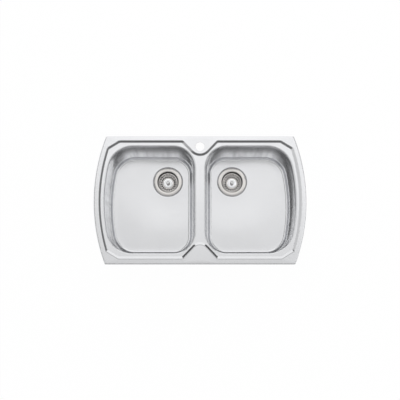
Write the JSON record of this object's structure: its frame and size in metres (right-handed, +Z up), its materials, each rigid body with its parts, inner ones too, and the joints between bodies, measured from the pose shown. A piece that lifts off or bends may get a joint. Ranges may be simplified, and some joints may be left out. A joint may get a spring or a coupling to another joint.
{
  "type": "double bowl kitchen sink",
  "caption": "Drop-in pressed steel kitchen sink with bowed sides, a stepped recess, tap hole, deep bowls, basket wastes and worktop clips.",
  "frame": {"origin": "middle of the sink on the plane of the worktop's top, which the rim seal rests on", "axes": "+X to the right along the long side, +Y to the back where the tap hole is, +Z up"},
  "size_m": [0.8388, 0.51, 0.2665],
  "materials": {
    "satin_steel": "satin stainless, fine grain",
    "brushed_steel": "brushed stainless",
    "polished_steel": "polished stainless",
    "black_rubber": "moulded rubber",
    "grey_foam": "closed cell foam strip",
    "sound_padding": "matt bitumen pad",
    "red_fibre": "pressed fibre",
    "nut_plastic": "moulded plastic",
    "zinc_steel": "zinc plated"
  },
  "bodies": {
    "sink": {"deck": "satin_steel", "rim_seal": "grey_foam", "left_bowl": "brushed_steel", "left_sound_pad": "sound_padding", "left_waste_body": "polished_steel", "left_flange_seal": "black_rubber", "left_waste_gasket": "black_rubber", "left_friction_washer": "red_fibre", "left_lock_nut": "nut_plastic", "right_bowl": "brushed_steel", "right_sound_pad": "sound_padding", "right_waste_body": "polished_steel", "right_flange_seal": "black_rubber", "right_waste_gasket": "black_rubber", "right_friction_washer": "red_fibre", "right_lock_nut": "nut_plastic", "back_left_clip_bracket": "zinc_steel", "back_left_clip_screw": "zinc_steel", "front_left_clip_bracket": "zinc_steel", "front_left_clip_screw": "zinc_steel", "left_back_clip_bracket": "zinc_steel", "left_back_clip_screw": "zinc_steel", "left_front_clip_bracket": "zinc_steel", "left_front_clip_screw": "zinc_steel", "back_right_clip_bracket": "zinc_steel", "back_right_clip_screw": "zinc_steel", "front_right_clip_bracket": "zinc_steel", "front_right_clip_screw": "zinc_steel", "right_back_clip_bracket": "zinc_steel", "right_back_clip_screw": "zinc_steel", "right_front_clip_bracket": "zinc_steel", "right_front_clip_screw": "zinc_steel"},
    "left_strainer": {"left_basket": "polished_steel", "left_basket_stopper": "black_rubber", "left_basket_knob": "polished_steel", "left_basket_nut": "polished_steel"},
    "right_strainer": {"right_basket": "polished_steel", "right_basket_stopper": "black_rubber", "right_basket_knob": "polished_steel", "right_basket_nut": "polished_steel"},
    "back_left_claw": {"back_left_clip_claw": "zinc_steel"},
    "front_left_claw": {"front_left_clip_claw": "zinc_steel"},
    "left_back_claw": {"left_back_clip_claw": "zinc_steel"},
    "left_front_claw": {"left_front_clip_claw": "zinc_steel"},
    "back_right_claw": {"back_right_clip_claw": "zinc_steel"},
    "front_right_claw": {"front_right_clip_claw": "zinc_steel"},
    "right_back_claw": {"right_back_clip_claw": "zinc_steel"},
    "right_front_claw": {"right_front_clip_claw": "zinc_steel"}
  },
  "joints": [
    {"name": "left_strainer_lift", "type": "slide", "parent": "sink", "child": "left_strainer", "axis": [0, 0, 1], "range_m": [0, 0.265]},
    {"name": "right_strainer_lift", "type": "slide", "parent": "sink", "child": "right_strainer", "axis": [0, 0, 1], "range_m": [0, 0.265]},
    {"name": "back_left_claw_swing", "type": "hinge", "parent": "sink", "child": "back_left_claw", "pos_m": [-0.18, 0.2245, -0.045], "axis": [0, 0, 1], "range_deg": [0, 90]},
    {"name": "front_left_claw_swing", "type": "hinge", "parent": "sink", "child": "front_left_claw", "pos_m": [-0.18, -0.2185, -0.045], "axis": [0, 0, 1], "range_deg": [0, 90]},
    {"name": "left_back_claw_swing", "type": "hinge", "parent": "sink", "child": "left_back_claw", "pos_m": [-0.37763, 0.11, -0.045], "axis": [0, 0, 1], "range_deg": [0, 90]},
    {"name": "left_front_claw_swing", "type": "hinge", "parent": "sink", "child": "left_front_claw", "pos_m": [-0.37763, -0.11, -0.045], "axis": [0, 0, 1], "range_deg": [0, 90]},
    {"name": "back_right_claw_swing", "type": "hinge", "parent": "sink", "child": "back_right_claw", "pos_m": [0.18, 0.2245, -0.045], "axis": [0, 0, 1], "range_deg": [0, 90]},
    {"name": "front_right_claw_swing", "type": "hinge", "parent": "sink", "child": "front_right_claw", "pos_m": [0.18, -0.2185, -0.045], "axis": [0, 0, 1], "range_deg": [0, 90]},
    {"name": "right_back_claw_swing", "type": "hinge", "parent": "sink", "child": "right_back_claw", "pos_m": [0.37763, 0.11, -0.045], "axis": [0, 0, 1], "range_deg": [0, 90]},
    {"name": "right_front_claw_swing", "type": "hinge", "parent": "sink", "child": "right_front_claw", "pos_m": [0.37763, -0.11, -0.045], "axis": [0, 0, 1], "range_deg": [0, 90]}
  ]
}
